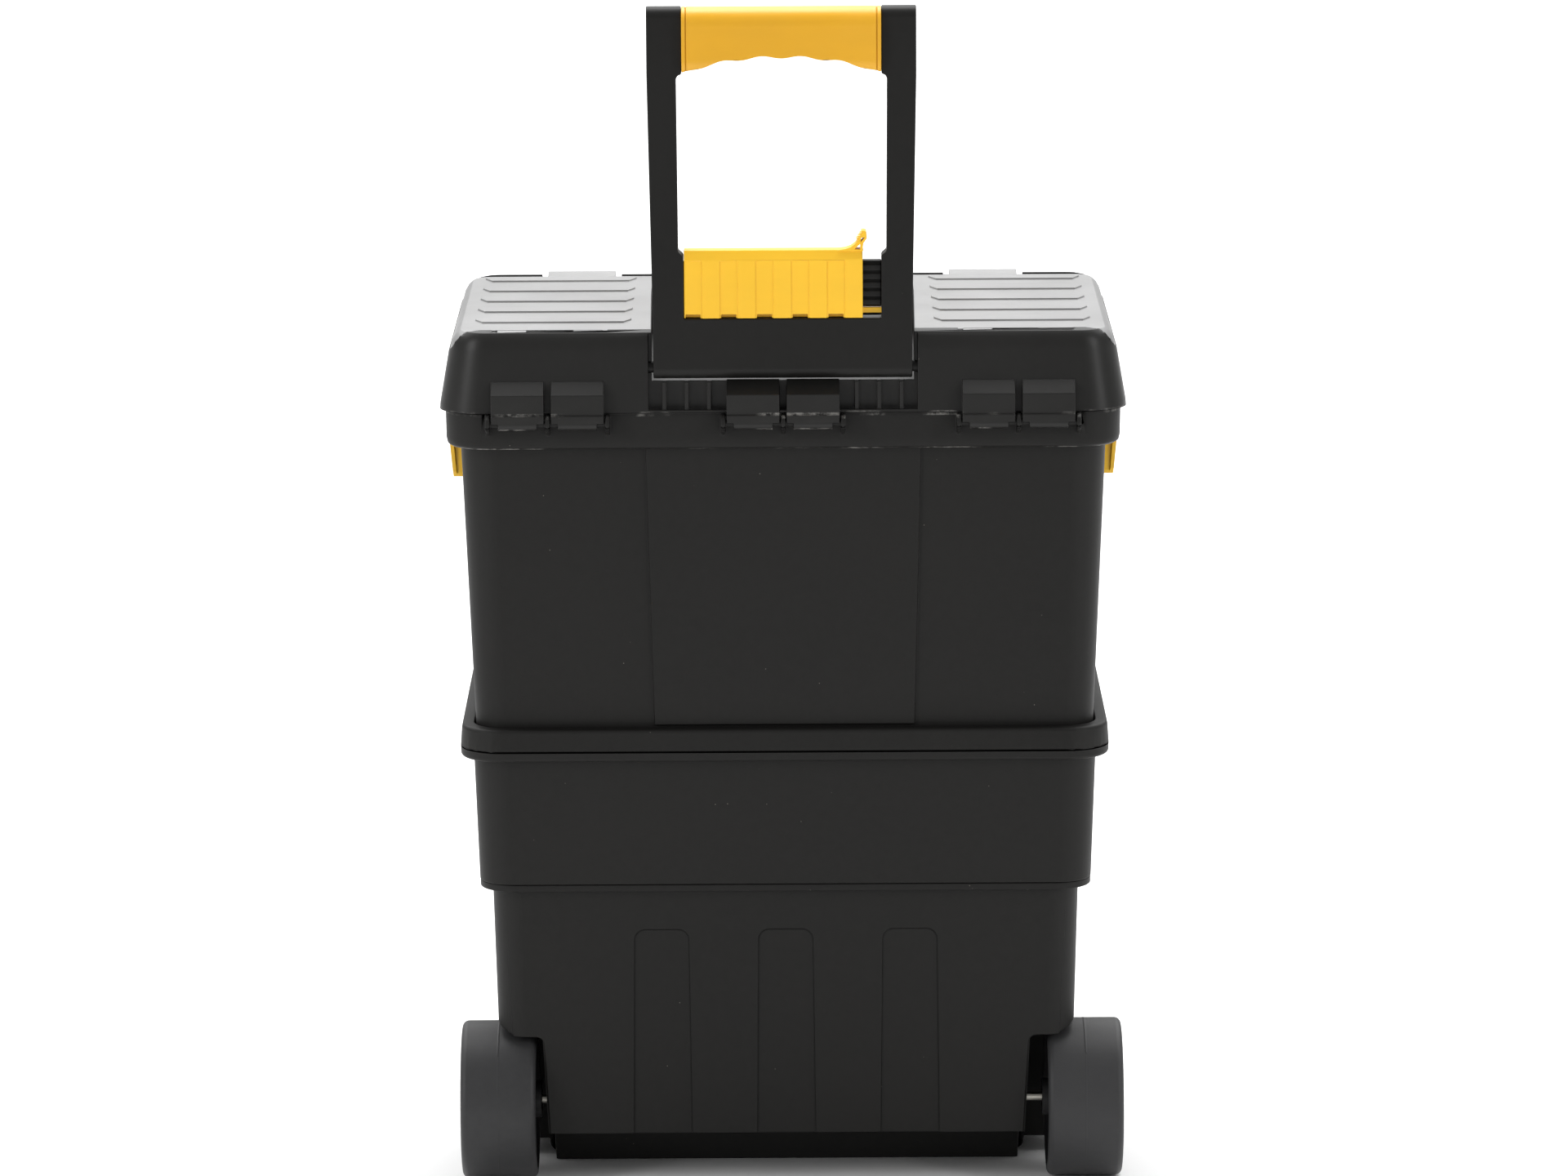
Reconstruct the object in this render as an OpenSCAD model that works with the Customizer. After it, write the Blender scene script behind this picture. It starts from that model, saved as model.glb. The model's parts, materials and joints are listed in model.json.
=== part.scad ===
// Rolling tool box: a wheeled base bin, a middle tray and a seat frame that carry a lift-off toolbox.
// The toolbox has organizers in its lid, side latches and a pull handle that folds down into the lid.
// Millimetres. X runs along the width, Y from the rear (-) to the front (+) and Z up from the floor.

/* [Overall] */
// Width of the lid across its rim, the widest part
lid_w = 474; // [460:1:480]
// Depth of the lid across its rim
lid_d = 280; // [274:1:290]
// Wall thickness of the moulded shells
wall = 3; // [2.6:0.1:3.2]

/* [Heights above the floor] */
// Top of the base bin's flange
base_top = 221.3; // [215:0.1:230]
// Top of the middle tray's flange
tray_top = 318.8; // [312:0.1:330]
// Top of the seat frame's rim
seat_top = 334.5; // [330:0.1:345]
// Underside of the lid's rim
rim_z = 559.4; // [545:0.1:570]
// Top of the closed lid
lid_top = 615.7; // [605:0.1:625]
// Top of the raised pull handle
handle_top = 839; // [825:1:850]

/* [Wheels] */
// Diameter of the wheels
wheel_d = 112; // [106:1:116]
// Width of a wheel's tread
wheel_w = 53; // [48:1:54]
// Distance from the middle of the box to a wheel's inner face
wheel_x = 180; // [178:1:182]
// Diameter of the steel axle
axle_d = 6; // [5:0.5:8]
// Distance of the axle from the lid's rear rim
axle_inset = 66; // [64:1:68]
// Sideways position of the axle, which floats in its bores
axle_shift = 3.8; // [0:0.1:4]

/* [Pull handle] */
// Width of the handle across its legs at the pivot
handle_w = 177.8; // [177:0.1:180]
// Thickness of the handle from rear to front
handle_t = 16; // [14:1:17]
// Length of the grip
grip_w = 136; // [130:1:137]
// Distance that the lock slide travels
lock_travel = 12.4; // [8:0.1:12.4]

/* [Lid organizers] */
// Compartments in each organizer
compartments = 3; // [2:1:4]
// Ribs on each clear cover
cover_ribs = 5; // [3:1:6]

/* [Hidden] */
$fn = 64;

black = "#2c2b29";
lid_black = "#262624";
wheel_grey = "#3a3a3b";
yellow = "#f0b41c";
clear_grey = "#c8c8c8";
steel = "#c7c2b2";

gap = 0.4;           // between stacked bodies
sheet = 0.01;        // thickness of the slices that a tapered shell is drawn between
rear_y = -lid_d/2;
pin_fit = 0.02;      // added to a bore's diameter round a fixed pin
run_fit = 0.15;      // added to a bore's diameter round a turning part

// Wheels and the wells that hold them
wheel_r = wheel_d/2;
axle_y = rear_y + axle_inset;
well_r = wheel_r + 6;
well_front = axle_y + well_r;
ledge_z = 109;       // underside of the ledge over a well, at the rear
cheek_top = 170.6;   // half-width between the wells at the ledge
cheek_low = 164.8;   // the same at the floor
cheek_in = 163.4;    // inside face of the cheeks
skirt_z = 38.2;      // lower edge of the rear skirt
body_low = 10;       // underside of the base bin beside its foot
foot_rear = rear_y + 107;
foot_w = 340;
tunnel_top = 66;     // underside of the raised floor over the axle

// Lid hinge: bars on the toolbox's collar and hooks on the lid
hinge_y = rear_y - 4;
hinge_z = rim_z - 6.4;
bar_d = 5;
gusset_r = 6;
hinge_pitch = 41.2;
hinge_groups = [-161.8, 0, 161.8];
strap_w = 36.2;

// Pull handle and the channel that it folds into
pivot_z = lid_top - 25.5;
pivot_y = rear_y + 9.3;
handle_low = pivot_z - handle_t/2;
plate_top = handle_low + 42.2;
channel_w = 185.2;
channel_floor = handle_low - 1.4;
recess_y = rear_y + 8;
front_wall_y = lid_d/2 - 18;
leg_in = 71.3;
ear_in = 67.8;
ear_top = plate_top + 46.6;
block_low = handle_top - 47;
handle_pin_d = 8;
lock_bar_low = plate_top + 8.6;
lock_bar_top = plate_top + 39.6;

// Lid organizers and their covers
deck_z = rim_z + 7.6;        // underside of the lid's deck
well_in = 97;
well_out = 221;
well_rear = rear_y + 18;
well_front_y = lid_d/2 - 19;
cover_t = 2.4;
cover_drop = 1;              // the covers lie this far below the lid's rims
cover_top = lid_top - cover_drop;
cover_low = rim_z + 41.2;
cover_rear = rear_y + 16.2;
cover_front = lid_d/2 - 16.1;
seat_rear = rear_y + 14.2;
seat_front = lid_d/2 - 15.3;
cover_low_r = 12;            // rounding of the side flap's lower corners
cover_axis_y = rear_y + 12.2;
cover_axis_z = lid_top - 3.4;
cover_pin_d = 2;
knuckle_r = 2.2;
hinge_in = 120.5;            // ends of the cover's hinge, from the middle
hinge_out = 199.7;
tab_in = 120;                // ends of the cover's front snap tab
tab_out = 168.7;
notch_gap = 4.2;             // the rim's notch is this much wider at each end

// Latches
side_pin_x = lid_w/2 - 5.8;
side_pin_z = rim_z + 9.6;
side_pin_d = 4;
side_latch_w = 70;
side_low = rim_z - 63.9;
latch_pin_d = 4;
latch_w = 76;
ear_t = 4;
tray_pin_y = lid_d/2 - 5.5;
tray_pin_z = tray_top - 27;
tray_hook_z = seat_top + 15;
base_pin_y = lid_d/2 - 13.8;
base_pin_z = base_top - 25;
base_hook_z = base_top + 24;

// A slice of a shell: width, depth, corner radius and height
function slice(inset_x, inset_y, r, z) = [lid_w - 2*inset_x, lid_d - 2*inset_y, r, z];
function arc(x, y, r, from, to, steps=6) =
    [for (i = [0:steps]) let (a = from + (to - from)*i/steps) [x + r*cos(a), y + r*sin(a)]];

module rounded_rect(w, d, r) {
    square([w - 2*r, d], center=true);
    square([w, d - 2*r], center=true);
    for (x = [-1, 1], y = [-1, 1]) translate([x*(w/2 - r), y*(d/2 - r)]) circle(r);
}
// A shell drawn smoothly through a list of slices
module tapered(slices, fn=48) hull()
    for (s = slices) translate([0, 0, s[3]]) linear_extrude(sheet) rounded_rect(s[0], s[1], s[2], $fn=fn);
module slab(s, height) translate([0, 0, s[3]]) linear_extrude(height) rounded_rect(s[0], s[1], s[2]);
// Extrudes an outline drawn in Y and Z along X, and one drawn in X and Z along Y
module along_x(from, to) translate([from, 0, 0]) rotate([90, 0, 90]) linear_extrude(to - from) children();
module along_y(from, to) translate([0, to, 0]) rotate([90, 0, 0]) linear_extrude(to - from) children();
module rod(d, from, to, y, z) translate([from, y, z]) rotate([0, 90, 0]) cylinder(d=d, h=to - from);
module block(low, high) translate(low) cube(high - low);
module mirrored() { children(); mirror([1, 0, 0]) children(); }
module on_side(side) mirror([side < 0 ? 1 : 0, 0, 0]) children();

// ---- Base bin, axle and wheels ----

module well_outline(r, notch) {
    translate([axle_y, wheel_r]) circle(r);
    translate([rear_y - 20, -1]) square([axle_y + r - rear_y + 20, wheel_r + 1]);
    if (notch) translate([rear_y - 20, -1]) square([56.5, ledge_z + 1]);
}
// The ledge's rounded ends, seen from the rear
module ledge_outline() {
    inner_r = 5.5;
    outer_r = 10;
    side_x = lid_w/2 - 33.4;
    x_in = cheek_top - 0.2;
    polygon(concat([[cheek_low, -1], [x_in, ledge_z - inner_r]],
        arc(x_in + inner_r, ledge_z - inner_r, inner_r, 180, 90),
        arc(side_x - outer_r, ledge_z + outer_r, outer_r, -90, 0),
        [[side_x + 30, ledge_z + outer_r], [side_x + 30, -1]]));
}
module wheel_well() {
    intersection() {
        along_x(150, 260) well_outline(well_r, false);
        along_y(rear_y + 36.5, well_front + 1)
            polygon([[cheek_low, -1], [cheek_top + 1, ledge_z + 18], [260, ledge_z + 18], [260, -1]]);
    }
    along_y(rear_y - 20, rear_y + 37) ledge_outline();
}
module base_cavity() {
    difference() {
        tapered([slice(36.8 + wall, 36.5 + wall, 17, body_low + wall),
            slice(31.5 + wall, 30 + wall, 19, base_top + 1)]);
        mirrored() along_x(cheek_in, 260) well_outline(well_r + wall, true);
        block([-200, rear_y, 0], [200, foot_rear + wall, tunnel_top + wall]);
    }
    block([-foot_w/2 + wall, foot_rear + wall, wall], [foot_w/2 - wall, lid_d/2 - 45, body_low + 2*wall]);
}
// A tall panel sunk into the rear wall, with a rounded top and an open lower end
module rear_panel() {
    top_w = 38;
    low_w = 41;
    top_r = 7.5;
    height = 152;
    draft = atan(6.5/(base_top - 5 - body_low));
    translate([0, rear_y + 30, base_top - 5.3]) rotate([draft, 0, 0]) translate([0, 0, -29]) along_y(-2, 1.2) {
        polygon([[-low_w/2, -height], [-top_w/2, -top_r], [top_w/2, -top_r], [low_w/2, -height]]);
        translate([-top_w/2 + top_r, -top_r - 1]) square([top_w - 2*top_r, top_r + 1]);
        for (x = [-1, 1]) translate([x*(top_w/2 - top_r), -top_r]) circle(top_r);
    }
}
// Two ears that hold a latch's pin against a front wall
module latch_ears(wall_y, pin_y, pin_z) {
    barrel_r = 5;
    mirrored() difference() {
        along_x(latch_w/2 + 1, latch_w/2 + 1 + ear_t) {
            translate([pin_y, pin_z]) circle(barrel_r);
            polygon([[wall_y, pin_z - 12], [pin_y, pin_z - barrel_r], [pin_y, pin_z + barrel_r],
                [wall_y, pin_z + 12]]);
        }
        rod(latch_pin_d + pin_fit, 0, latch_w, pin_y, pin_z);
    }
}
module base_bin() color(black) {
    panel_pitch = 87;
    difference() {
        union() {
            tapered([slice(36.8, 36.5, 20, body_low), slice(31.5, 30, 22, base_top - 5.3)]);
            slab(slice(22.9, 24, 26, base_top - 5.3), 5.3);
            along_y(foot_rear, lid_d/2 - 42) {
                translate([0, 20]) square([foot_w, 24], center=true);
                translate([-foot_w/2 + 8, 0]) square([foot_w - 16, 16]);
                for (x = [-1, 1]) translate([x*(foot_w/2 - 8), 8]) circle(8);
            }
        }
        base_cavity();
        mirrored() wheel_well();
        block([-cheek_in, rear_y + 39.2, -1], [cheek_in, foot_rear - wall, tunnel_top]);
        block([-260, rear_y - 20, -1], [260, foot_rear, skirt_z]);
        rod(axle_d + pin_fit, -200, 200, axle_y, wheel_r);
        for (i = [-1:1]) translate([i*panel_pitch, 0, 0]) rear_panel();
    }
    latch_ears(lid_d/2 - 33, base_pin_y, base_pin_z);
}
module axle() color(steel) translate([axle_shift, 0, 0])
    rod(axle_d, -wheel_x - 49, wheel_x + 49, axle_y, wheel_r);
module push_nuts() color(steel) translate([axle_shift, 0, 0]) mirrored() difference() {
    union() {
        rod(14, wheel_x + 44.4, wheel_x + 45.6, axle_y, wheel_r);
        rod(9.5, wheel_x + 45.5, wheel_x + 47.5, axle_y, wheel_r);
    }
    rod(axle_d + pin_fit, wheel_x, wheel_x + 60, axle_y, wheel_r);
}
// Half of the wheel's section: distance from the axle, then distance along it
module wheel_section() {
    edge = 4.5;
    flat = wheel_r - 0.25;
    polygon(concat([[49, 0]], arc(flat - edge, edge, edge, -90, 0),
        [[flat, wheel_w/2 - 0.5], [wheel_r, wheel_w/2], [flat, wheel_w/2 + 0.5]],
        arc(flat - edge, wheel_w - edge, edge, 0, 90), [[49, wheel_w]]));
    translate([10, 24]) square([40, 4]);
    translate([axle_d/2 + run_fit/2, -3]) square([13 - axle_d/2, 47]);
}
module on_axle(side) translate([axle_shift, 0, 0]) on_side(side) translate([wheel_x, axle_y, wheel_r])
    rotate([0, 90, 0]) children();
module wheel(side) color(wheel_grey) on_axle(side) {
    rotate_extrude($fn=120) wheel_section();
    for (i = [0:7]) rotate(i*45) {
        translate([12, -1.5, 8]) cube([38, 3, 17]);
        translate([25.5, -1.5, 27]) cube([24.5, 3, 14]);
    }
}
module hub_cap(side) color(lid_black) on_axle(side) rotate_extrude($fn=96)
    polygon(concat([[0, 50.2], [23, 50.2], [23, 28.2], [25, 28.2]], arc(22, 49.6, 3, 0, 90), [[0, 52.6]]));
module wheel_left() wheel(-1);
module wheel_right() wheel(1);
module hub_cap_left() hub_cap(-1);
module hub_cap_right() hub_cap(1);

// ---- Middle tray and seat frame ----

module middle_tray() color(black) {
    low = base_top + gap;
    difference() {
        union() {
            tapered([slice(22.8, 22, 24, low), slice(19.7, 19, 26, tray_top - 7.2)]);
            tapered([slice(12.2, 12.5, 28, tray_top - 7.2), slice(10.9, 11.2, 29.5, tray_top - 5.6),
                slice(10.7, 11, 30, tray_top - gap)]);
        }
        tapered([slice(22.8 + wall, 22 + wall, 21, low + wall),
            slice(19.7 + wall, 19 + wall, 23, tray_top + 1)]);
    }
    // Locating rim that drops into the base bin
    difference() {
        slab(slice(38, 36.5, 15, base_top - 5.5), 6.2);
        slab(slice(38 + wall, 36.5 + wall, 12, base_top - 6), 7.2);
    }
    // Catch for the base bin's latch
    block([-latch_w/2 + 6, lid_d/2 - 24, base_hook_z - 9], [latch_w/2 - 6, lid_d/2 - 18.6, base_hook_z - 3]);
    latch_ears(lid_d/2 - 22, tray_pin_y, tray_pin_z);
}
module seat_frame() color(lid_black) {
    floor_z = seat_top - 8.7;
    difference() {
        tapered([slice(10.7, 11, 30, tray_top), slice(11.6, 11.9, 29, seat_top - 2.8),
            slice(12.4, 12.7, 28, seat_top - 0.9), slice(14.2, 14.5, 26, seat_top - sheet)]);
        slab(slice(20.4, 20.8, 23, floor_z), 20);
        slab(slice(10.7 + wall, 11 + wall, 27, tray_top - 1), floor_z - wall - tray_top + 1);
    }
    // Locating rim that drops into the middle tray
    difference() {
        slab(slice(25, 24.5, 20, tray_top - 6), floor_z - tray_top + 4);
        slab(slice(25 + wall, 24.5 + wall, 17, tray_top - 7), floor_z - tray_top + 9 - wall);
    }
}

// ---- Toolbox: tub, tote tray and lid ----

tub_z = seat_top - 8.7 + gap;
collar_z = rim_z - 26.3;
collar_top = rim_z - gap;
tub_high = slice(13.6, 14, 27, collar_z);
pocket_x = lid_w/2 - 13.6;   // floor of the collar's pockets for the side latches, level with the tub's wall
pocket_half = side_latch_w/2 + 8;

// A raised panel in the middle of the rear or the front wall, leaning with it
module centre_panel() {
    low_w = 90.4;
    high_w = 95;
    proud = 2.2;
    height = collar_z - seat_top - 1.4;
    draft = atan(8.2/(collar_z - tub_z));
    translate([0, -lid_d/2 + 14, collar_z]) rotate([draft, 0, 0]) along_y(-proud, 1)
        polygon([[-low_w, -height], [-high_w, 0.2], [high_w, 0.2], [low_w, -height]]);
}
module hinge_bars() {
    collar_y = rear_y + 4;
    for (x = hinge_groups) translate([x, 0, 0]) {
        rod(bar_d, -hinge_pitch, hinge_pitch, hinge_y, hinge_z);
        for (i = [-1:1]) along_x(i*hinge_pitch - 1.5, i*hinge_pitch + 1.5) {
            translate([hinge_y, hinge_z]) circle(gusset_r);
            polygon([[hinge_y - 5.2, hinge_z - 3], [collar_y + 1, hinge_z - 10], [collar_y + 1, hinge_z + 4],
                [hinge_y, hinge_z + gusset_r]]);
        }
    }
}
module toolbox_tub() color(black) {
    difference() {
        union() {
            tapered([slice(24.8, 25.2, 19, tub_z), slice(21.7, 22.1, 22, tub_z + 3), tub_high]);
            tapered([slice(8, 7.4, 25, collar_z), slice(5, 4.6, 27, collar_z + 1.8),
                slice(4.1, 4, 27.5, collar_z + 6), slice(3.8, 3.8, 28, collar_top - sheet)]);
            centre_panel();
            mirror([0, 1, 0]) centre_panel();
            hinge_bars();
        }
        tapered([slice(21.8 + wall, 22.2 + wall, 19, tub_z + wall),
            slice(13.6 + wall, 14 + wall, 24, collar_z)]);
        slab(slice(13.6 + wall, 14 + wall, 24, collar_z - 0.5), 5);
        slab(slice(7.2, 7.2, 25, collar_z + wall), 40);
        // Pockets in the collar for the side latches
        mirrored() block([pocket_x, -pocket_half, collar_z - 1], [lid_w, pocket_half, rim_z]);
    }
    // Walls that close the pockets towards the inside
    mirrored() {
        block([pocket_x - wall, -pocket_half - wall, collar_z], [pocket_x, pocket_half + wall, collar_top]);
        for (end = [-1, 1]) translate([0, end*(pocket_half + wall/2), 0])
            block([pocket_x - wall, -wall/2, collar_z], [lid_w/2 - 6.4, wall/2, collar_top]);
    }
    // Catch for the middle tray's latch
    block([-latch_w/2 + 6, lid_d/2 - 25, tray_hook_z - 9], [latch_w/2 - 6, lid_d/2 - 9.8, tray_hook_z - 3]);
}
module tote_tray() color(lid_black) {
    rim = slice(8.2, 8.2, 24, collar_z + wall + 0.2);
    tray_low = collar_z - 52;
    divider_t = 2;
    difference() {
        union() {
            tapered([slice(30, 32, 16, tray_low), slice(19, 20, 21, collar_z + wall + 0.2)]);
            slab(rim, 2.4);
        }
        difference() {
            tapered([slice(32.5, 34.5, 14, tray_low + 2.5), slice(21.5, 22.5, 19, collar_z + wall + 3)]);
            for (x = [-70, 70]) block([x - divider_t/2, -200, tray_low], [x + divider_t/2, 200, collar_z]);
        }
        // Notches in the rim round the walls of the latch pockets
        mirrored() block([pocket_x - wall - 0.6, -pocket_half - wall - 0.6, tray_low],
            [lid_w, pocket_half + wall + 0.6, collar_z + 20]);
    }
    // Carrying bridge between the two dividers
    along_y(-9, 9) difference() {
        polygon(concat([[-71, tray_low + 1], [-71, collar_z + 6]], arc(-61, collar_z + 6, 10, 180, 90),
            arc(61, collar_z + 6, 10, 90, 0), [[71, collar_z + 6], [71, tray_low + 1]]));
        polygon(concat([[-69, tray_low], [-69, collar_z + 4]], arc(-60, collar_z + 4, 9, 180, 90),
            arc(60, collar_z + 4, 9, 90, 0), [[69, collar_z + 4], [69, tray_low]]));
    }
}

// The lid's outer form, or the same form drawn in by an inset
function lid_slices(inset) = [for (s = [
    slice(0, 0, 29, rim_z), slice(0.3, 0.3, 29, rim_z + 4), slice(7, 3.5, 26, lid_top - 13.7),
    slice(8.2, 4.4, 25, lid_top - 8.6), slice(10.6, 6, 23, lid_top - 4.4), slice(14, 8.6, 20, lid_top - 1.4),
    slice(18.5, 12.5, 17, lid_top - sheet)])
    [s[0] - 2*inset, s[1] - 2*inset, s[2] - inset, min(s[3], lid_top - sheet - inset)]];

// One hinge hook: a strap on the lid's rear wall that ends in an open knuckle round the bar
module hinge_strap(wall_y) {
    outer_r = 4.6;
    top_z = handle_low - 0.7;
    face_y = hinge_y - 3.3;
    difference() {
        along_x(-strap_w/2, strap_w/2) difference() {
            union() {
                polygon([[wall_y + 1, rim_z], [wall_y + 1, top_z], [wall_y - 0.5, top_z],
                    [face_y, rim_z + 13.6], [face_y, rim_z], [hinge_y - outer_r, rim_z - 0.7],
                    [hinge_y - outer_r, hinge_z], [hinge_y, hinge_z], [hinge_y + outer_r, hinge_z],
                    [hinge_y + outer_r, rim_z]]);
                translate([hinge_y, hinge_z]) circle(outer_r);
            }
            translate([hinge_y, hinge_z]) circle(d=bar_d + run_fit);
            polygon([[hinge_y, hinge_z], [hinge_y + 1.6, hinge_z - 7], [hinge_y + 7, hinge_z - 3]]);
        }
        // The hook's lower lip is narrower than its strap
        mirrored() block([strap_w/2 - 4.8, hinge_y - 8, hinge_z - 8], [strap_w, hinge_y + 8, hinge_z + 0.6]);
    }
}
module organizer_well() translate([0, 0, deck_z + wall]) linear_extrude(60)
    translate([(well_in + well_out)/2, (well_rear + well_front_y)/2])
        rounded_rect(well_out - well_in, well_front_y - well_rear, 8);
// Half-width of the handle's channel, which widens towards the front with the folded legs
channel_points = [[90.2, recess_y], [92.8, 46], [92.8, front_wall_y]];
// Plan of a cover's inner edge, set back from the channel's wall
module cover_plan(set_back) translate([0, 0, deck_z]) linear_extrude(80)
    polygon([[lid_w, rear_y - 9], [channel_points[0][0] + set_back, rear_y - 9],
        for (p = channel_points) [p[0] + set_back, p[1]], [channel_points[2][0] + set_back, lid_d],
        [lid_w, lid_d]]);
// Side view of a cover and its flap, grown by a clearance
module cover_side(from_x, grow) along_x(from_x, lid_w)
    polygon(concat([[cover_front + grow, lid_top + 5], [cover_rear - grow, lid_top + 5]],
        arc(cover_rear + cover_low_r, cover_low + cover_low_r, cover_low_r + grow, 180, 270),
        arc(cover_front - cover_low_r, cover_low + cover_low_r, cover_low_r + grow, 270, 360)));
// What each side of the lid gives up to its clear cover
module cover_seat() {
    intersection() {
        cover_plan(0);
        block([80, seat_rear, cover_top - 2.9], [lid_w, seat_front, lid_top + 5]);
    }
    intersection() {
        cover_side(well_out - 14, 0.6);
        block([well_out - 14, rear_y, cover_top - 7], [lid_w, lid_d, lid_top + 5]);
    }
    cover_side(well_out - 1, 0.6);
    block([hinge_in, rear_y - 1, lid_top - 1.3], [hinge_out, seat_rear + 1, lid_top + 5]);
    block([hinge_in + 3, cover_axis_y - 2.9, cover_axis_z - 2.7],
        [hinge_out - 3, seat_rear + 4, lid_top + 5]);
    block([tab_in - notch_gap, seat_front - 1, lid_top - 3.2], [tab_out + notch_gap, lid_d, lid_top + 5]);
    block([tab_in - notch_gap, lid_d/2 - 7.3, lid_top - 13], [tab_out + notch_gap, lid_d, lid_top + 5]);
    rod(cover_pin_d + pin_fit, hinge_in, hinge_out, cover_axis_y, cover_axis_z);
}
module handle_channel(from_y, low) translate([0, 0, low]) linear_extrude(lid_top + 5 - low)
    polygon(concat([[-1, from_y], [channel_points[0][0], from_y]], channel_points, [[-1, front_wall_y]]));
module toolbox_lid() color(lid_black) {
    rib_w = 2.7;
    difference() {
        tapered(lid_slices(0));
        slab(slice(wall, wall, 26, rim_z - 1), deck_z - rim_z + 1);
        // Channel for the folded handle, with a deeper end for the grip
        mirrored() handle_channel(recess_y - 1, channel_floor);
        intersection() {
            mirrored() handle_channel(recess_y - 1, deck_z + wall);
            block([-lid_w, lid_d/2 - 71, rim_z], [lid_w, lid_d, lid_top + 9]);
        }
        block([-channel_w/2, rear_y - 20, rim_z + 2], [channel_w/2, recess_y, lid_top + 5]);
        mirrored() organizer_well();
        mirrored() cover_seat();
        // Pockets for the side latches, and the bores of their pins
        mirrored() block([lid_w/2 - 10.4, -side_latch_w/2 - 0.5, rim_z - 1],
            [lid_w, side_latch_w/2 + 0.5, side_pin_z + 7.5]);
        mirrored() translate([side_pin_x, -side_latch_w/2 - 5, side_pin_z]) rotate([-90, 0, 0])
            cylinder(d=side_pin_d + pin_fit, h=side_latch_w + 10);
        rod(handle_pin_d + pin_fit, -well_in + 0.4, well_in - 0.4, pivot_y, pivot_z);
    }
    for (x = hinge_groups, i = [-0.5, 0.5])
        translate([x + i*hinge_pitch, 0, 0]) hinge_strap(x == 0 ? recess_y : rear_y + 1.6);
    // Walls that close the rear recess towards the inside
    block([-channel_w/2 - wall, recess_y, rim_z], [channel_w/2 + wall, recess_y + wall, deck_z + 1]);
    mirrored() block([channel_w/2, rear_y + 1.5, rim_z], [channel_w/2 + wall, recess_y + 1, deck_z + 1]);
    mirrored() for (x = [50.7, 66.1, 81.5])
        block([x - rib_w/2, rear_y + 1.5, rim_z + 1], [x + rib_w/2, recess_y + 1, channel_floor]);
}
module organizer_cover(side) color(clear_grey, 0.6) on_side(side) {
    rib_from = 105;
    rib_to = 213;
    rib_pitch = 189/(cover_ribs - 1);
    rib_d = 17;
    rib_slant = 5;
    plate_z = cover_top - cover_t;
    difference() {
        union() {
            intersection() {
                difference() {
                    tapered(lid_slices(cover_drop));
                    tapered(lid_slices(cover_drop + cover_t));
                }
                cover_plan(0.4);
                cover_side(80, 0);
            }
            // Hinge knuckles and the arms that carry them
            for (x = [hinge_in + 3.5, hinge_out - 23.5]) {
                rod(2*knuckle_r, x, x + 20, cover_axis_y, cover_axis_z);
                along_x(x, x + 20) polygon([[cover_axis_y, cover_axis_z - 1],
                    [cover_axis_y, cover_axis_z + knuckle_r], [cover_rear + 1, cover_top - sheet],
                    [cover_rear + 4, plate_z + 0.2],
                    [cover_rear + 4, plate_z - 1.5]]);
            }
            // Snap tab that hooks over the front rim
            along_x(tab_in, tab_out) polygon([[cover_front - 3, plate_z],
                [cover_front - 3, cover_top - sheet], [cover_front + 2, lid_top + 1.8],
                [lid_d/2 - 9, lid_top + 1.8], [lid_d/2 - 5.4, lid_top - 0.4],
                [lid_d/2 - 4.2, lid_top - 12], [lid_d/2 - 6.8, lid_top - 12], [lid_d/2 - 7.2, lid_top - 2.4],
                [cover_front, lid_top - 2.4]]);
            // Raised ribs, wider at the front than at the rear
            for (i = [0:cover_ribs - 1]) translate([0, rear_y + 57 + i*rib_pitch, cover_top - 0.3])
                linear_extrude(1.6) polygon([[rib_from + rib_slant, -rib_d/2], [rib_from, rib_d/2 - rib_d/3],
                    [rib_from, rib_d/2], [rib_to, rib_d/2], [rib_to, rib_d/2 - rib_d/3],
                    [rib_to - rib_slant, -rib_d/2]]);
        }
        rod(cover_pin_d + run_fit, hinge_in, hinge_out, cover_axis_y, cover_axis_z);
    }
}
module organizer_cover_left() organizer_cover(-1);
module organizer_cover_right() organizer_cover(1);
module cover_hinge_pins() color(steel) mirrored()
    rod(cover_pin_d, hinge_in + 0.5, hinge_out - 0.5, cover_axis_y, cover_axis_z);
module organizer_dividers() color(lid_black) mirrored() {
    divider_t = 2;
    pitch = (well_front_y - well_rear)/compartments;
    for (i = [1:compartments - 1])
        block([well_in + 0.2, well_rear + i*pitch - divider_t/2, deck_z + wall + 0.1],
            [well_out - 0.2, well_rear + i*pitch + divider_t/2, cover_low]);
}

// ---- Latches ----

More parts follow.
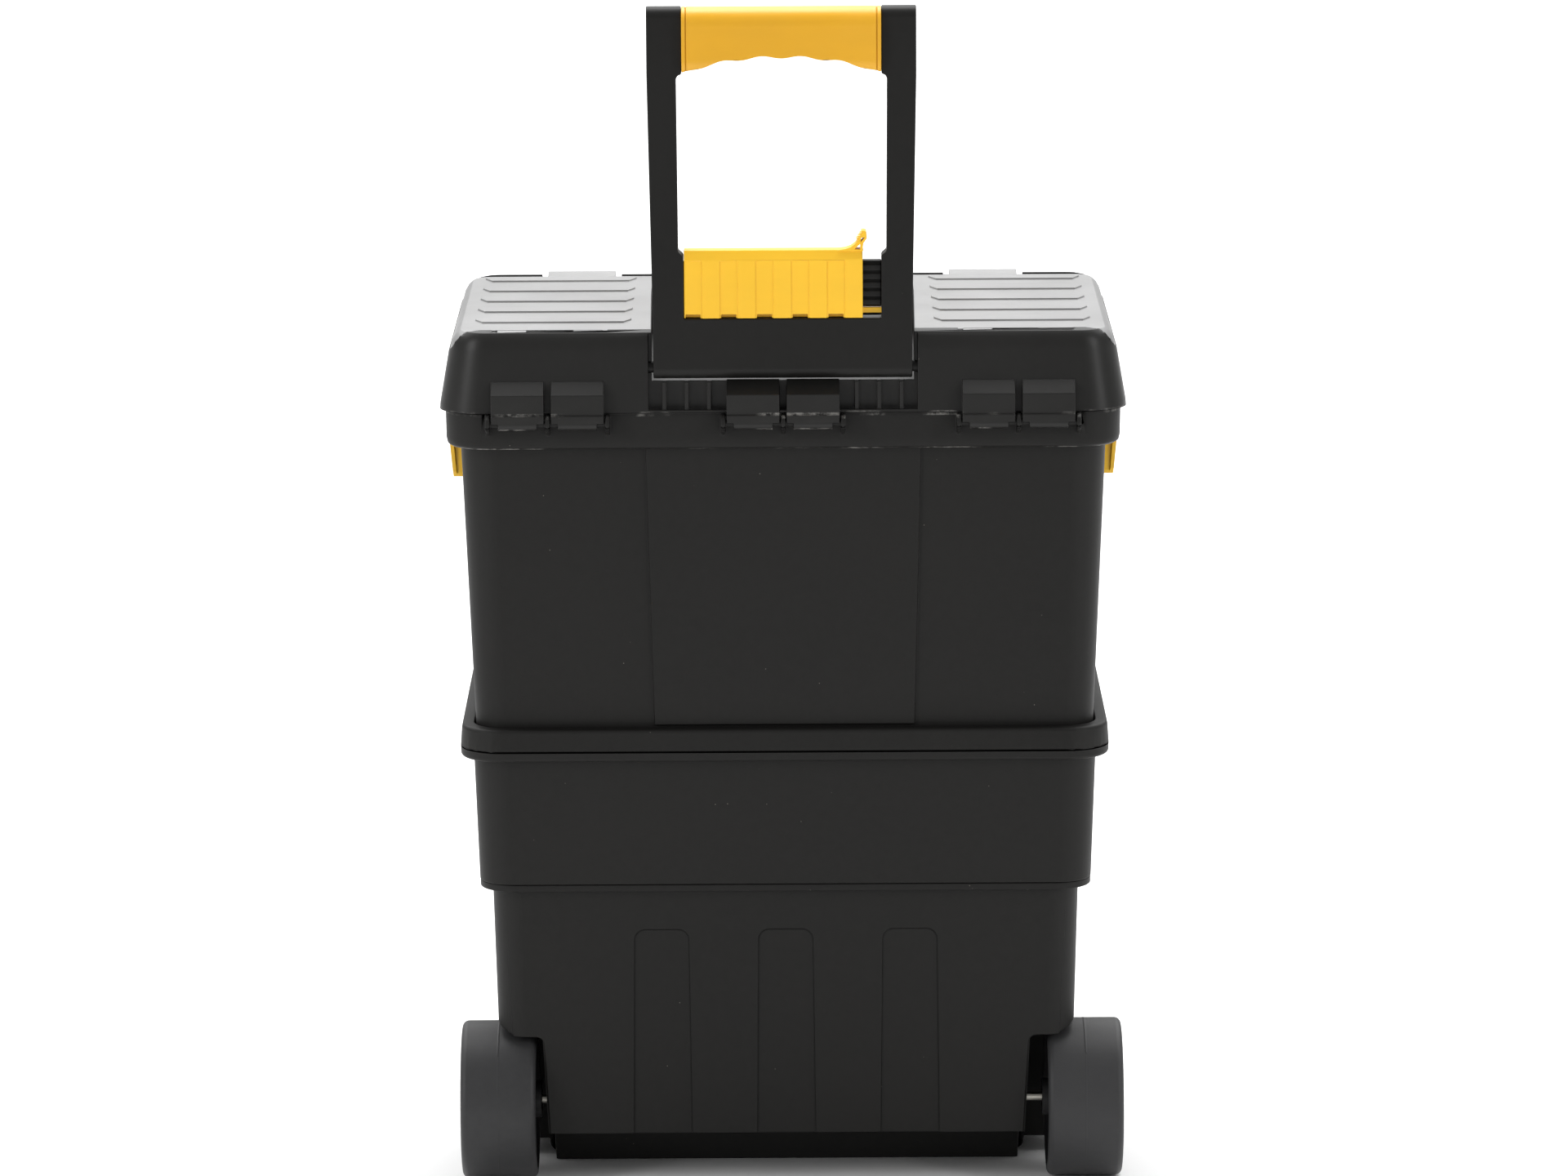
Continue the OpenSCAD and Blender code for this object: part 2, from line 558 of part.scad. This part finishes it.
// Side latch, drawn on the right: it hangs from the lid's rim over the collar
module side_latch(side) color(yellow) on_side(side) {
    barrel_r = 4.2;
    low_half = 29;
    flange_x = pocket_x + 0.4;
    difference() {
        intersection() {
            union() {
                translate([side_pin_x, -side_latch_w/2, side_pin_z]) rotate([-90, 0, 0])
                    cylinder(r=barrel_r, h=side_latch_w);
                along_y(-side_latch_w/2, side_latch_w/2) polygon([[side_pin_x - 0.2, side_pin_z + 3],
                    [side_pin_x + 2.9, side_pin_z + 3], [side_pin_x + barrel_r, side_pin_z],
                    [side_pin_x + barrel_r, collar_z], [side_pin_x + 0.9, side_low],
                    [side_pin_x - 1.9, side_low], [side_pin_x + 0.6, collar_z - 5],
                    [side_pin_x - 2.6, collar_z - 3], [side_pin_x - 2.6, collar_z - 0.6],
                    [side_pin_x - 0.2, collar_z + 0.4]]);
                // Deep flanges at both ends of the lower part
                for (end = [-1, 1]) translate([0, end*(low_half - 3), 0]) along_y(-1.5, 1.5)
                    polygon([[side_pin_x, collar_z - 1], [flange_x, collar_z - 1],
                        [flange_x, side_low], [side_pin_x, side_low]]);
            }
            along_x(lid_w/2 - 20, lid_w/2) polygon([[-side_latch_w/2, side_pin_z + 10],
                [-low_half, side_low + 4], [-low_half + 4, side_low - 1], [low_half - 4, side_low - 1],
                [low_half, side_low + 4], [side_latch_w/2, side_pin_z + 10]]);
        }
        translate([side_pin_x, -lid_d/2, side_pin_z]) rotate([-90, 0, 0])
            cylinder(d=side_pin_d + run_fit, h=lid_d);
    }
}
module side_latch_left() side_latch(-1);
module side_latch_right() side_latch(1);
module side_latch_pins() color(steel) mirrored() translate([side_pin_x, -side_latch_w/2 - 4.6, side_pin_z])
    rotate([-90, 0, 0]) cylinder(d=side_pin_d, h=side_latch_w + 9.2);
// Front latch on a pin, with a hook towards the box and a flared finger lip
module front_latch(pin_y, pin_z, hook_z, hook_y, lip_y) color(yellow) {
    barrel_r = 5;
    plate_in = pin_y - 2.5;
    plate_out = pin_y + 2.5;
    difference() {
        union() {
            rod(2*barrel_r, -latch_w/2, latch_w/2, pin_y, pin_z);
            along_x(-latch_w/2, latch_w/2) polygon([[plate_in, pin_z + 1], [plate_in, hook_z - 2],
                [hook_y, hook_z - 1], [hook_y, hook_z + 4], [plate_in, hook_z + 6], [lip_y - 3, hook_z + 16],
                [lip_y, hook_z + 14], [plate_out, hook_z + 2], [plate_out, pin_z + 1]]);
        }
        rod(latch_pin_d + run_fit, -latch_w, latch_w, pin_y, pin_z);
    }
}
module tray_latch() front_latch(tray_pin_y, tray_pin_z, tray_hook_z, lid_d/2 - 9.2, lid_d/2 + 10);
module base_latch() front_latch(base_pin_y, base_pin_z, base_hook_z, lid_d/2 - 18.2, lid_d/2 + 2);
module latch_pin(pin_y, pin_z) color(steel) rod(latch_pin_d, -latch_w/2 - 5, latch_w/2 + 5, pin_y, pin_z);
module tray_latch_pin() latch_pin(tray_pin_y, tray_pin_z);
module base_latch_pin() latch_pin(base_pin_y, base_pin_z);

// ---- Pull handle ----

// Leg from the plate up to the grip, drawn on the right
module handle_leg_outline() {
    top_out = handle_w/2 + 3.1;
    polygon([[leg_in, plate_top - 10], [ear_in, plate_top - 10], [ear_in, ear_top - 3], [leg_in, ear_top],
        [leg_in + 0.7, block_low - 2.6], [leg_in - 0.4, block_low], [grip_w/2 + 0.2, block_low + 1],
        [grip_w/2 + 0.2, handle_top], [top_out, handle_top],
        [top_out, block_low], [handle_w/2, plate_top - 10]]);
}
module handle_frame() color(lid_black) {
    front = pivot_y + handle_t/2;
    slot_h = 5;
    difference() {
        union() {
            mirrored() along_y(pivot_y - handle_t/2, front) handle_leg_outline();
            block([-handle_w/2, pivot_y - handle_t/2, pivot_z], [handle_w/2, front, plate_top]);
            rod(handle_t, -handle_w/2, handle_w/2, pivot_y, pivot_z);
            // Core of the grip
            block([-grip_w/2 - 1, pivot_y - 6, handle_top - 27], [grip_w/2 + 1, pivot_y + 6, handle_top - 9]);
        }
        // Rounded tops of the legs
        along_x(-lid_w, lid_w) difference() {
            translate([pivot_y - handle_t, handle_top - handle_t/2]) square([2*handle_t, handle_t]);
            translate([pivot_y, handle_top - handle_t/2]) circle(d=handle_t);
        }
        // Hollow front of the legs
        mirrored() for (z = [ear_top + 6:38:block_low - 20])
            block([leg_in + 3.6, pivot_y - 4, z], [handle_w/2 - 3, front + 1, z + 35]);
        // Hollow front of the plate
        for (i = [-2:2])
            block([i*32 - 14.5, pivot_y - 4, pivot_z + 4], [i*32 + 14.5, front + 1, plate_top - 3]);
        // Bores for the pivot pins and the lock slide's tongue
        mirrored() rod(handle_pin_d + run_fit, handle_w/2 - 22, handle_w/2 + 1, pivot_y, pivot_z);
        block([ear_in - 1, pivot_y - 3.5, plate_top + 2.4],
            [handle_w/2 - 2.5, pivot_y + 3.5, plate_top + 2.4 + slot_h]);
    }
}
module handle_pivot_pins() color(steel) mirrored()
    rod(handle_pin_d, handle_w/2 - 21, well_in - 0.6, pivot_y, pivot_z);
// Lower edge of the grip: higher in the middle, with a shallow scallop for each finger
function grip_low(x) = handle_top - 34 - 11.5*pow(abs(x)/68, 2.4) - 0.9*cos(360*x/27);
module handle_grip() color(yellow) {
    grip_t = 26;
    round_r = 12.5;
    flange_t = 2.6;
    groove = 0.6;
    x_end = grip_w/2;
    difference() {
        intersection() {
            along_y(pivot_y - grip_t/2, pivot_y + grip_t/2)
                polygon(concat([for (i = [-24:24]) let (x = i*x_end/24) [x, grip_low(x)]],
                    [[x_end, handle_top - 0.5], [-x_end, handle_top - 0.5]]));
            along_x(-x_end, x_end) translate([pivot_y, handle_top - 24.5]) rounded_rect(grip_t, 48, round_r);
        }
        block([-lid_w, pivot_y - 6.1, handle_top - 27.1], [lid_w, pivot_y + 6.1, handle_top - 8.9]);
        // Grooves that mark off a thin flange at each end
        mirrored() along_x(x_end - flange_t - groove, x_end - flange_t) translate([pivot_y, handle_top - 24.5])
            difference() {
                square([2*grip_t, 60], center=true);
                rounded_rect(grip_t - 2*groove, 48 - 2*groove, round_r - groove);
            }
    }
}
// Ribbed guide bar between the handle's ears, which the lock slide runs along
module lock_bar() color(lid_black) difference() {
    block([-ear_in + 0.05, pivot_y - 4, lock_bar_low], [ear_in - 0.05, pivot_y + 4, lock_bar_top]);
    for (z = [4:6:28])
        block([-lid_w, pivot_y - 6, lock_bar_low + z], [lid_w, pivot_y - 2.8, lock_bar_low + z + 1.6]);
}
module lock_slide() color(yellow) {
    x_left = -ear_in + 0.3;
    x_right = ear_in - lock_travel - 0.4;
    panels = 10;
    pitch = (x_right - x_left)/panels;
    low = plate_top + 0.4;
    high = ear_top + 0.5;
    rear = pivot_y - handle_t/2;
    difference() {
        // C-shaped section round the guide bar, with a bevel on its top rear edge
        along_x(x_left, x_right) difference() {
            polygon([[rear, low], [rear, high - 6], [rear + 3.5, high], [pivot_y + 7, high],
                [pivot_y + 7, low]]);
            translate([pivot_y - 4.4, lock_bar_low - 0.4]) square([20, lock_bar_top - lock_bar_low + 0.8]);
        }
        for (i = [0:2:panels - 1]) {
            block([x_left + i*pitch, rear - 1, low - 1], [x_left + (i + 1)*pitch, rear + 0.9, high - 7]);
            block([x_left + i*pitch + 1, rear - 1, low - 1],
                [x_left + (i + 1)*pitch - 1, rear + 5, low + 2.6]);
        }
    }
    // Tongue that runs into the slot in the right-hand ear
    block([x_right - 1, pivot_y - 2.5, plate_top + 3], [ear_in + 3, pivot_y + 2.5, plate_top + 6.8]);
    // Serrated thumb tab
    along_y(pivot_y - 6, pivot_y + 6) translate([x_right, high]) thumb_tab_outline();
}
// Thumb tab seen from the rear: it sweeps up from the slide and ends in a toothed pad
module thumb_tab_outline() {
    teeth = 4;
    tooth = 1.7;
    difference() {
        polygon(concat([[-17, -1], [-17, 0]], [[-12, 0.6], [-8, 2], [-5, 4.2], [-3.2, 7]],
            [for (i = [0:teeth - 1]) each [[-3.2 + i*1.1, 7 + i*tooth], [-4.6 + i*1.1, 7.6 + i*tooth],
                [-2.9 + i*1.1, 8.3 + i*tooth]]],
            [[2.6, 12.6], [3, 8], [0.6, 4.5], [-0.2, -1]]));
        polygon([[-5.6, 0.4], [-1.6, 0.4], [-1.6, 4]]);
        polygon([[-1.4, 5.2], [1.6, 8.6], [-1, 8.2]]);
    }
}

base_bin();
axle();
push_nuts();
wheel_left();
wheel_right();
hub_cap_left();
hub_cap_right();
middle_tray();
seat_frame();
toolbox_tub();
tote_tray();
toolbox_lid();
organizer_cover_left();
organizer_cover_right();
cover_hinge_pins();
organizer_dividers();
side_latch_left();
side_latch_right();
side_latch_pins();
tray_latch();
tray_latch_pin();
base_latch();
base_latch_pin();
handle_frame();
handle_grip();
handle_pivot_pins();
lock_bar();
lock_slide();
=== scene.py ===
"""The looks of the rolling tool box: materials, rounded edges, studio and camera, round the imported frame."""

import json
import math

import bpy
from mathutils import Matrix, Vector

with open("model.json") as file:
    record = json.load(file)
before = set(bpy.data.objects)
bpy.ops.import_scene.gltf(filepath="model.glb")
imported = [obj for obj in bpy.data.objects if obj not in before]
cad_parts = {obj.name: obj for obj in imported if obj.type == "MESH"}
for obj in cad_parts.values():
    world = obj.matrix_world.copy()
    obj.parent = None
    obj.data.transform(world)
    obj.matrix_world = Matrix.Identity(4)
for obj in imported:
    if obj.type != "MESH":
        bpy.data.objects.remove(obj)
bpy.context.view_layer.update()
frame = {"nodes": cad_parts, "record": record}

MM = 0.001
BLACK = (0.0135, 0.0130, 0.0120)
DUST_TONE = (0.34, 0.31, 0.27)
# Pale tone of the edge bands: rubbed wear, and at the collar's lower edge a painted highlight
WEAR_AND_HIGHLIGHT_TONE = (0.34, 0.33, 0.31)
COLLAR_TOP, COLLAR_FOOT = 557.9 * MM, 533.6 * MM
LID_RIM, HOOK_LIPS = 560.0 * MM, 549.2 * MM


# ---- Node helpers ----


class Nodes:
    """A material's node tree, with short calls for the nodes that the materials share."""

    def __init__(self, name):
        self.material = bpy.data.materials.new(name)
        self.material.use_nodes = True
        self.tree = self.material.node_tree
        self.shader = self.tree.nodes["Principled BSDF"]
        self.coordinates = self.tree.nodes.new("ShaderNodeTexCoord").outputs["Object"]

    def link(self, source, target):
        self.tree.links.new(source, target)

    def stretched(self, scale):
        mapping = self.tree.nodes.new("ShaderNodeMapping")
        mapping.inputs["Scale"].default_value = scale
        self.link(self.coordinates, mapping.inputs["Vector"])
        return mapping.outputs["Vector"]

    def noise(self, scale, detail=3.0, roughness=0.5, vector=None):
        node = self.tree.nodes.new("ShaderNodeTexNoise")
        node.inputs["Scale"].default_value = scale
        node.inputs["Detail"].default_value = detail
        node.inputs["Roughness"].default_value = roughness
        self.link(vector or self.coordinates, node.inputs["Vector"])
        return node.outputs["Fac"]

    def cells(self, scale):
        node = self.tree.nodes.new("ShaderNodeTexVoronoi")
        node.inputs["Scale"].default_value = scale
        self.link(self.coordinates, node.inputs["Vector"])
        return node.outputs["Distance"]

    def height(self):
        node = self.tree.nodes.new("ShaderNodeSeparateXYZ")
        self.link(self.coordinates, node.inputs["Vector"])
        return node.outputs["Z"]

    def ramp(self, value, low, high, low_out=0.0, high_out=1.0):
        node = self.tree.nodes.new("ShaderNodeMapRange")
        node.inputs["From Min"].default_value = low
        node.inputs["From Max"].default_value = high
        node.inputs["To Min"].default_value = low_out
        node.inputs["To Max"].default_value = high_out
        self.link(value, node.inputs["Value"])
        return node.outputs["Result"]

    def times(self, a, b):
        node = self.tree.nodes.new("ShaderNodeMath")
        node.operation = "MULTIPLY"
        self.link(a, node.inputs[0])
        if isinstance(b, float):
            node.inputs[1].default_value = b
        else:
            self.link(b, node.inputs[1])
        return node.outputs["Value"]

    def plus(self, a, b):
        node = self.tree.nodes.new("ShaderNodeMath")
        node.operation = "ADD"
        self.link(a, node.inputs[0])
        self.link(b, node.inputs[1])
        return node.outputs["Value"]

    def mix(self, factor, a, b):
        node = self.tree.nodes.new("ShaderNodeMix")
        node.data_type = "RGBA"
        self.link(factor, node.inputs["Factor"])
        for socket, colour in ((node.inputs[6], a), (node.inputs[7], b)):
            if isinstance(colour, tuple):
                socket.default_value = (*colour, 1.0)
            else:
                self.link(colour, socket)
        return node.outputs[2]

    def bump(self, height, depth):
        node = self.tree.nodes.new("ShaderNodeBump")
        node.inputs["Distance"].default_value = depth
        node.inputs["Strength"].default_value = 1.0
        self.link(height, node.inputs["Height"])
        self.link(node.outputs["Normal"], self.shader.inputs["Normal"])


def scaled(colour, factor):
    return tuple(c * factor for c in colour)


def moulded_plastic(name, colour, roughness, grain, dust=0.5, wear=0.25, specular=0.5, wear_and_highlight_bands=()):
    """Moulded plastic: fine sandblasted grain, slow mottling, worn edges, hairline scuffs and specks of dust.

    The last argument lists the heights of edges paled in patchy bands: rubbed wear along the lid rim, hook lips and
    collar top, and a painted highlight along the collar's rounded lower edge.
    """
    n = Nodes(name)
    mottle = n.ramp(n.noise(7, 4), 0.3, 0.7)
    fine = n.ramp(n.noise(160, 2), 0.3, 0.7)
    tone = n.mix(mottle, scaled(colour, 0.86), scaled(colour, 1.12))
    tone = n.mix(n.times(fine, 0.35), tone, scaled(colour, 1.25))
    pointy = n.tree.nodes.new("ShaderNodeNewGeometry").outputs["Pointiness"]
    edge = n.times(n.ramp(pointy, 0.53, 0.62), n.ramp(n.noise(45, 4), 0.35, 0.75, 0.1, 1.0))
    worn = scaled(colour, 2.2)
    tone = n.mix(n.times(edge, wear), tone, worn)
    scuff = n.ramp(n.noise(9, 6, 0.75, n.stretched((1.0, 1.0, 26.0))), 0.68, 0.76)
    tone = n.mix(n.times(scuff, 0.12), tone, worn)
    speck = n.ramp(n.cells(85), 0.035, 0.012)
    present = n.ramp(n.noise(31, 1), 0.52, 0.58)
    tone = n.mix(n.times(n.times(speck, present), dust), tone, DUST_TONE)
    # Pale patchy bands at the given heights: wear at the rim, hook lips and collar top, a painted highlight along the
    # collar's lower edge
    for z in wear_and_highlight_bands:
        above = n.ramp(n.height(), z - 1.6 * MM, z - 0.9 * MM)
        below = n.ramp(n.height(), z + 0.9 * MM, z + 0.2 * MM)
        patchy = n.times(n.ramp(n.noise(24, 2), 0.5, 0.62), n.ramp(n.noise(190, 4, 0.7), 0.42, 0.6))
        tone = n.mix(n.times(n.times(n.times(above, below), patchy), 0.55), tone, WEAR_AND_HIGHLIGHT_TONE)
    n.link(tone, n.shader.inputs["Base Color"])
    rough = n.plus(n.ramp(mottle, 0, 1, roughness - 0.05, roughness + 0.04), n.times(scuff, 0.1))
    n.link(rough, n.shader.inputs["Roughness"])
    n.shader.inputs["Specular IOR Level"].default_value = specular
    n.bump(n.plus(n.noise(2200, 2), n.times(n.noise(420, 3), 0.6)), grain)
    return n.material


def yellow_plastic(name, colour):
    """Semi-gloss yellow plastic with faint flow marks and painted shade darkening its creases and low spots."""
    roughness = 0.34
    n = Nodes(name)
    flow = n.ramp(n.noise(12, 5, 0.6, n.stretched((0.4, 1.0, 1.4))), 0.3, 0.7)
    tone = n.mix(flow, scaled(colour, 0.93), scaled(colour, 1.05))
    pointy = n.tree.nodes.new("ShaderNodeNewGeometry").outputs["Pointiness"]
    # Painted shade: creases and low spots (low pointiness) are mixed toward a darker copy of the yellow, standing in
    # for the shade that falls there.
    painted_crease_shade = n.ramp(pointy, 0.49, 0.42)
    tone = n.mix(n.times(painted_crease_shade, 0.22), tone, (colour[0] * 0.62, colour[1] * 0.42, colour[2] * 0.3))
    speck = n.ramp(n.cells(120), 0.03, 0.012)
    tone = n.mix(n.times(n.times(speck, n.ramp(n.noise(40, 1), 0.55, 0.6)), 0.5), tone, (0.2, 0.12, 0.03))
    n.link(tone, n.shader.inputs["Base Color"])
    n.link(n.ramp(n.noise(30, 4), 0.3, 0.7, roughness - 0.05, roughness + 0.07), n.shader.inputs["Roughness"])
    n.shader.inputs["Subsurface Weight"].default_value = 0.06
    n.shader.inputs["Subsurface Radius"].default_value = (4.0 * MM, 2.0 * MM, 0.8 * MM)
    n.bump(n.plus(n.noise(900, 2), n.times(n.noise(60, 3), 1.5)), 0.02 * MM)
    return n.material


def clear_plastic(name):
    """Frosted translucent plastic of the organizer covers, cloudier in random patches."""
    n = Nodes(name)
    cloud = n.ramp(n.noise(9, 4), 0.3, 0.7)
    tone = n.mix(cloud, (0.30, 0.30, 0.30), (0.35, 0.35, 0.35))
    scuff = n.ramp(n.noise(14, 6, 0.75, n.stretched((1.0, 20.0, 1.0))), 0.66, 0.74)
    tone = n.mix(n.times(scuff, 0.3), tone, (0.44, 0.44, 0.44))
    n.link(tone, n.shader.inputs["Base Color"])
    n.link(n.ramp(n.noise(20, 4), 0.3, 0.7, 0.3, 0.42), n.shader.inputs["Roughness"])
    n.shader.inputs["Transmission Weight"].default_value = 0.25
    n.shader.inputs["IOR"].default_value = 1.49
    n.bump(n.plus(n.noise(700, 2), n.times(n.noise(45, 3), 2.0)), 0.02 * MM)
    return n.material


def zinc_steel(name):
    """Zinc-plated steel with drawn lines along the rod and dull spots."""
    n = Nodes(name)
    lines = n.noise(60, 4, 0.6, n.stretched((1.0, 40.0, 40.0)))
    blotch = n.ramp(n.noise(90, 4), 0.35, 0.7)
    tone = n.mix(blotch, (0.60, 0.58, 0.52), (0.48, 0.46, 0.41))
    n.link(tone, n.shader.inputs["Base Color"])
    n.shader.inputs["Metallic"].default_value = 1.0
    n.link(n.ramp(lines, 0.3, 0.7, 0.22, 0.42), n.shader.inputs["Roughness"])
    n.bump(lines, 0.02 * MM)
    return n.material


materials = {
    "black_body": moulded_plastic(
        # The band at COLLAR_FOOT is a painted highlight on the collar's rounded lower edge; the band at COLLAR_TOP is
        # wear.
        "black_body", scaled(BLACK, 0.72), 0.55, 0.06 * MM, specular=0.22, wear_and_highlight_bands=(COLLAR_TOP, COLLAR_FOOT)
    ),
    "black_lid": moulded_plastic(
        "black_lid",
        scaled(BLACK, 0.72),
        0.40,
        0.03 * MM,
        dust=0.35,
        wear=0.5,
        specular=0.32,
        wear_and_highlight_bands=(LID_RIM, HOOK_LIPS),
    ),
    "black_handle": moulded_plastic("black_handle", scaled(BLACK, 0.7), 0.45, 0.03 * MM, dust=0.25, specular=0.22),
    "wheel_plastic": moulded_plastic("wheel_plastic", (0.029, 0.029, 0.030), 0.5, 0.05 * MM, dust=0.6, specular=0.36),
    "hub_plastic": moulded_plastic("hub_plastic", scaled(BLACK, 0.8), 0.45, 0.04 * MM, specular=0.4),
    "yellow_plastic": yellow_plastic("yellow_plastic", (0.97, 0.56, 0.025)),
    "grip_plastic": yellow_plastic("grip_plastic", (0.80, 0.41, 0.015)),
    "clear_cover": clear_plastic("clear_cover"),
    "zinc_steel": zinc_steel("zinc_steel"),
}


# ---- CAD nodes: materials and softened edges ----

EDGE_RADIUS = {
    "black_body": 0.9 * MM,
    "black_lid": 0.4 * MM,
    "black_handle": 0.9 * MM,
    "wheel_plastic": 0.6 * MM,
    "hub_plastic": 0.6 * MM,
    "yellow_plastic": 0.5 * MM,
    "clear_cover": 0.4 * MM,
    "zinc_steel": 0.2 * MM,
}


def soften(piece, radius):
    """Welds a piece's facets together and rounds its edges, as a mould does."""
    for polygon in piece.data.polygons:
        polygon.use_smooth = True
    keep_windowed_faces(piece)
    weld = piece.modifiers.new("weld", "WELD")
    weld.merge_threshold = 0.002 * MM
    planar = piece.modifiers.new("planar", "DECIMATE")
    planar.decimate_type = "DISSOLVE"
    planar.angle_limit = math.radians(0.6)
    planar.delimit = {"SEAM"}
    bevel = piece.modifiers.new("rounded_edges", "BEVEL")
    bevel.width = radius
    bevel.segments = 3
    bevel.limit_method = "ANGLE"
    bevel.angle_limit = math.radians(28)
    bevel.use_clamp_overlap = False
    bevel.miter_outer = "MITER_ARC"
    bevel.harden_normals = False
    normals = piece.modifiers.new("flat_faces", "WEIGHTED_NORMAL")
    normals.weight = 100
    normals.keep_sharp = False


def root_of(parents, item):
    while parents[item] != item:
        parents[item] = parents[parents[item]]
        item = parents[item]
    return item


def keep_windowed_faces(piece):
    """Marks the inner edges of each flat face with a window in it, which can't become one polygon."""
    mesh = piece.data
    place = [tuple(round(c / (0.01 * MM)) for c in v.co) for v in mesh.vertices]
    number = {p: i for i, p in enumerate(sorted(set(place)))}
    sides = {}
    for polygon in mesh.polygons:
        ring = [number[place[i]] for i in polygon.vertices]
        for a, b in zip(ring, ring[1:] + ring[:1]):
            sides.setdefault((min(a, b), max(a, b)), []).append(polygon.index)
    flat = math.cos(math.radians(0.6))
    regions = list(range(len(mesh.polygons)))
    for pair in sides.values():
        if len(pair) == 2 and mesh.polygons[pair[0]].normal.dot(mesh.polygons[pair[1]].normal) > flat:
            regions[root_of(regions, pair[0])] = root_of(regions, pair[1])
    borders = {}
    for side, faces in sides.items():
        names = {root_of(regions, f) for f in faces}
        if len(faces) != 2 or len(names) == 2:
            for name in names:
                borders.setdefault(name, []).append(side)
    windowed = set()
    for name, border in borders.items():
        loops = {end: end for side in border for end in side}
        for a, b in border:
            loops[root_of(loops, a)] = root_of(loops, b)
        if len({root_of(loops, end) for end in loops}) > 1 or len(border) != len(loops):
            windowed.add(name)
    for polygon in mesh.polygons:
        if root_of(regions, polygon.index) in windowed:
            for loop in polygon.loop_indices:
                mesh.edges[mesh.loops[loop].edge_index].use_seam = True


# The grip's plastic is a deeper yellow than that of the latches and the slide
OWN_LOOK = {"handle_grip": "grip_plastic"}
slot_of = {s["node"]: s["material_slot"] for s in frame["record"]["subparts"]}
for node, piece in frame["nodes"].items():
    slot = slot_of[node]
    piece.data.materials.clear()
    piece.data.materials.append(materials[OWN_LOOK.get(node, slot)])
    soften(piece, EDGE_RADIUS[slot])


# ---- Studio and camera ----


def studio():
    world = bpy.data.worlds.new("studio")
    bpy.context.scene.world = world
    world.use_nodes = True
    world.node_tree.nodes["Background"].inputs["Color"].default_value = (1.0, 1.0, 1.0, 1.0)
    world.node_tree.nodes["Background"].inputs["Strength"].default_value = 0.42
    mesh = bpy.data.meshes.new("floor")
    half = 30.0
    corners = [(-half, -half, 0.0), (half, -half, 0.0), (half, half, 0.0), (-half, half, 0.0)]
    mesh.from_pydata(corners, [], [(0, 1, 2, 3)])
    floor = bpy.data.objects.new("floor", mesh)
    bpy.context.scene.collection.objects.link(floor)
    n = Nodes("floor_paper")
    n.link(n.mix(n.noise(3, 3), (0.90, 0.90, 0.90), (0.94, 0.94, 0.94)), n.shader.inputs["Base Color"])
    n.shader.inputs["Roughness"].default_value = 0.9
    mesh.materials.append(n.material)


def softbox(name, place, target, size, power):
    light = bpy.data.lights.new(name, "AREA")
    light.shape = "RECTANGLE"
    light.size, light.size_y = size
    light.energy = power
    lamp = bpy.data.objects.new(name, light)
    lamp.location = place
    lamp.rotation_mode = "QUATERNION"
    lamp.rotation_quaternion = (Vector(target) - Vector(place)).to_track_quat("-Z", "Y")
    bpy.context.scene.collection.objects.link(lamp)


def camera():
    data = bpy.data.cameras.new("camera")
    data.sensor_width = 36.0
    data.lens = 169.5
    data.clip_end = 200.0
    cam = bpy.data.objects.new("camera", data)
    pitch = math.radians(90.0 - 11.06)
    roll = math.radians(-0.30)
    turn = Matrix.Rotation(pitch, 4, "X") @ Matrix.Rotation(roll, 4, "Z")
    cam.matrix_world = Matrix.Translation((0.0, -5.14, 1.414)) @ turn
    bpy.context.scene.collection.objects.link(cam)
    bpy.context.scene.camera = cam


studio()
softbox("wash", (0.0, 4.6, 3.6), (0.0, 4.6, 0.0), (10.0, 9.0), 640.0)
softbox("top", (0.0, 0.5, 2.6), (0.0, 0.0, 0.6), (2.0, 1.4), 34.0)
softbox("left_strip", (-2.3, -1.9, 1.5), (0.0, 0.0, 0.5), (0.5, 1.8), 26.0)
softbox("right_strip", (2.3, -1.9, 1.5), (0.0, 0.0, 0.5), (0.5, 1.8), 20.0)
camera()
bpy.context.scene.view_settings.view_transform = "Standard"
